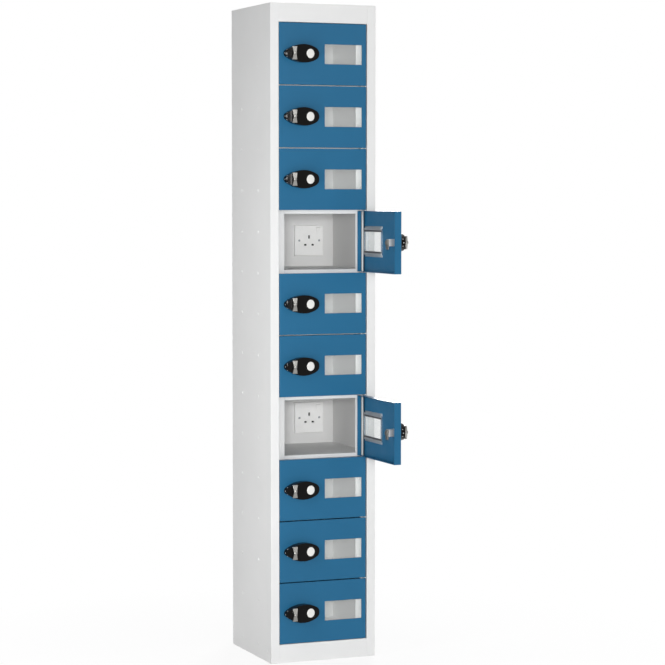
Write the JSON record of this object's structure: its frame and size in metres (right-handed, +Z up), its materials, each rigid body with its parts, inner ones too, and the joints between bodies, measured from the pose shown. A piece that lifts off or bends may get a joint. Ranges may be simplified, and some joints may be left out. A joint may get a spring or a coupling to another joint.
{
  "type": "tablet charging locker",
  "caption": "Tall steel charging locker: a light grey column of small compartments, blue windowed doors on one hinge rod, turn-knob locks and a switched socket inside each",
  "frame": {"origin": "middle of the body's footprint, on the floor", "axes": "+X to the right as seen from the front, +Y to the back, +Z up"},
  "size_m": [0.311, 0.608, 1.78],
  "materials": {
    "carcass_paint": "fine-textured powder coat, light grey",
    "door_paint": "satin powder coat, mid blue",
    "clear_pane": "clear polycarbonate pane, with folded aluminium channels above and below",
    "black_plastic": "glossy black moulding with a blank white disc",
    "lock_metal": "satin die-cast knob and square block, plated cam",
    "white_plastic": "smooth white moulding",
    "rod_steel": "bright drawn steel",
    "zinc_steel": "zinc-plated pressed steel"
  },
  "bodies": {
    "root": {"side_panels": "carcass_paint", "top_panel": "carcass_paint", "plinth": "carcass_paint", "back_panel": "carcass_paint", "shelves": "carcass_paint", "hinge_rod": "rod_steel", "sockets": "white_plastic", "back_boxes": "zinc_steel", "duct_cover": "carcass_paint", "wiring": "white_plastic"},
    "door_01": {"door_01": "door_paint", "window_01": "clear_pane", "lock_01": "black_plastic"},
    "turn_01": {"turn_01": "lock_metal"},
    "rocker_01": {"rocker_01": "white_plastic"},
    "door_02": {"door_02": "door_paint", "window_02": "clear_pane", "lock_02": "black_plastic"},
    "turn_02": {"turn_02": "lock_metal"},
    "rocker_02": {"rocker_02": "white_plastic"},
    "door_03": {"door_03": "door_paint", "window_03": "clear_pane", "lock_03": "black_plastic"},
    "turn_03": {"turn_03": "lock_metal"},
    "rocker_03": {"rocker_03": "white_plastic"},
    "door_04": {"door_04": "door_paint", "window_04": "clear_pane", "lock_04": "black_plastic"},
    "turn_04": {"turn_04": "lock_metal"},
    "rocker_04": {"rocker_04": "white_plastic"},
    "door_05": {"door_05": "door_paint", "window_05": "clear_pane", "lock_05": "black_plastic"},
    "turn_05": {"turn_05": "lock_metal"},
    "rocker_05": {"rocker_05": "white_plastic"},
    "door_06": {"door_06": "door_paint", "window_06": "clear_pane", "lock_06": "black_plastic"},
    "turn_06": {"turn_06": "lock_metal"},
    "rocker_06": {"rocker_06": "white_plastic"},
    "door_07": {"door_07": "door_paint", "window_07": "clear_pane", "lock_07": "black_plastic"},
    "turn_07": {"turn_07": "lock_metal"},
    "rocker_07": {"rocker_07": "white_plastic"},
    "door_08": {"door_08": "door_paint", "window_08": "clear_pane", "lock_08": "black_plastic"},
    "turn_08": {"turn_08": "lock_metal"},
    "rocker_08": {"rocker_08": "white_plastic"},
    "door_09": {"door_09": "door_paint", "window_09": "clear_pane", "lock_09": "black_plastic"},
    "turn_09": {"turn_09": "lock_metal"},
    "rocker_09": {"rocker_09": "white_plastic"},
    "door_10": {"door_10": "door_paint", "window_10": "clear_pane", "lock_10": "black_plastic"},
    "turn_10": {"turn_10": "lock_metal"},
    "rocker_10": {"rocker_10": "white_plastic"}
  },
  "joints": [
    {"name": "door_01_hinge", "type": "hinge", "parent": "root", "child": "door_01", "pos_m": [0.1185, -0.145, 1.646], "axis": [0, 0, 1], "range_deg": [0, 90]},
    {"name": "turn_01_spindle", "type": "hinge", "parent": "door_01", "child": "turn_01", "pos_m": [-0.093, -0.1525, 1.646], "axis": [0, 1, 0], "range_deg": [0, 90]},
    {"name": "rocker_01_pivot", "type": "hinge", "parent": "root", "child": "rocker_01", "pos_m": [0.1035, 0.147, 1.6705], "axis": [1, 0, 0], "range_deg": [-10, 0]},
    {"name": "door_02_hinge", "type": "hinge", "parent": "root", "child": "door_02", "pos_m": [0.1185, -0.145, 1.478], "axis": [0, 0, 1], "range_deg": [0, 90]},
    {"name": "turn_02_spindle", "type": "hinge", "parent": "door_02", "child": "turn_02", "pos_m": [-0.093, -0.1525, 1.478], "axis": [0, 1, 0], "range_deg": [0, 90]},
    {"name": "rocker_02_pivot", "type": "hinge", "parent": "root", "child": "rocker_02", "pos_m": [0.1035, 0.147, 1.5025], "axis": [1, 0, 0], "range_deg": [-10, 0]},
    {"name": "door_03_hinge", "type": "hinge", "parent": "root", "child": "door_03", "pos_m": [0.1185, -0.145, 1.31], "axis": [0, 0, 1], "range_deg": [0, 90]},
    {"name": "turn_03_spindle", "type": "hinge", "parent": "door_03", "child": "turn_03", "pos_m": [-0.093, -0.1525, 1.31], "axis": [0, 1, 0], "range_deg": [0, 90]},
    {"name": "rocker_03_pivot", "type": "hinge", "parent": "root", "child": "rocker_03", "pos_m": [0.1035, 0.147, 1.3345], "axis": [1, 0, 0], "range_deg": [-10, 0]},
    {"name": "door_04_hinge", "type": "hinge", "parent": "root", "child": "door_04", "pos_m": [0.1185, -0.145, 1.142], "axis": [0, 0, 1], "range_deg": [-90, 0]},
    {"name": "turn_04_spindle", "type": "hinge", "parent": "door_04", "child": "turn_04", "pos_m": [0.126, -0.3565, 1.142], "axis": [-1, 0, 0], "range_deg": [0, 90]},
    {"name": "rocker_04_pivot", "type": "hinge", "parent": "root", "child": "rocker_04", "pos_m": [0.1035, 0.147, 1.1665], "axis": [1, 0, 0], "range_deg": [-10, 0]},
    {"name": "door_05_hinge", "type": "hinge", "parent": "root", "child": "door_05", "pos_m": [0.1185, -0.145, 0.974], "axis": [0, 0, 1], "range_deg": [0, 90]},
    {"name": "turn_05_spindle", "type": "hinge", "parent": "door_05", "child": "turn_05", "pos_m": [-0.093, -0.1525, 0.974], "axis": [0, 1, 0], "range_deg": [0, 90]},
    {"name": "rocker_05_pivot", "type": "hinge", "parent": "root", "child": "rocker_05", "pos_m": [0.1035, 0.147, 0.9985], "axis": [1, 0, 0], "range_deg": [-10, 0]},
    {"name": "door_06_hinge", "type": "hinge", "parent": "root", "child": "door_06", "pos_m": [0.1185, -0.145, 0.806], "axis": [0, 0, 1], "range_deg": [0, 90]},
    {"name": "turn_06_spindle", "type": "hinge", "parent": "door_06", "child": "turn_06", "pos_m": [-0.093, -0.1525, 0.806], "axis": [0, 1, 0], "range_deg": [0, 90]},
    {"name": "rocker_06_pivot", "type": "hinge", "parent": "root", "child": "rocker_06", "pos_m": [0.1035, 0.147, 0.8305], "axis": [1, 0, 0], "range_deg": [-10, 0]},
    {"name": "door_07_hinge", "type": "hinge", "parent": "root", "child": "door_07", "pos_m": [0.1185, -0.145, 0.638], "axis": [0, 0, 1], "range_deg": [-90, 0]},
    {"name": "turn_07_spindle", "type": "hinge", "parent": "door_07", "child": "turn_07", "pos_m": [0.126, -0.3565, 0.638], "axis": [-1, 0, 0], "range_deg": [0, 90]},
    {"name": "rocker_07_pivot", "type": "hinge", "parent": "root", "child": "rocker_07", "pos_m": [0.1035, 0.147, 0.6625], "axis": [1, 0, 0], "range_deg": [-10, 0]},
    {"name": "door_08_hinge", "type": "hinge", "parent": "root", "child": "door_08", "pos_m": [0.1185, -0.145, 0.47], "axis": [0, 0, 1], "range_deg": [0, 90]},
    {"name": "turn_08_spindle", "type": "hinge", "parent": "door_08", "child": "turn_08", "pos_m": [-0.093, -0.1525, 0.47], "axis": [0, 1, 0], "range_deg": [0, 90]},
    {"name": "rocker_08_pivot", "type": "hinge", "parent": "root", "child": "rocker_08", "pos_m": [0.1035, 0.147, 0.4945], "axis": [1, 0, 0], "range_deg": [-10, 0]},
    {"name": "door_09_hinge", "type": "hinge", "parent": "root", "child": "door_09", "pos_m": [0.1185, -0.145, 0.302], "axis": [0, 0, 1], "range_deg": [0, 90]},
    {"name": "turn_09_spindle", "type": "hinge", "parent": "door_09", "child": "turn_09", "pos_m": [-0.093, -0.1525, 0.302], "axis": [0, 1, 0], "range_deg": [0, 90]},
    {"name": "rocker_09_pivot", "type": "hinge", "parent": "root", "child": "rocker_09", "pos_m": [0.1035, 0.147, 0.3265], "axis": [1, 0, 0], "range_deg": [-10, 0]},
    {"name": "door_10_hinge", "type": "hinge", "parent": "root", "child": "door_10", "pos_m": [0.1185, -0.145, 0.134], "axis": [0, 0, 1], "range_deg": [0, 90]},
    {"name": "turn_10_spindle", "type": "hinge", "parent": "door_10", "child": "turn_10", "pos_m": [-0.093, -0.1525, 0.134], "axis": [0, 1, 0], "range_deg": [0, 90]},
    {"name": "rocker_10_pivot", "type": "hinge", "parent": "root", "child": "rocker_10", "pos_m": [0.1035, 0.147, 0.1585], "axis": [1, 0, 0], "range_deg": [-10, 0]}
  ]
}
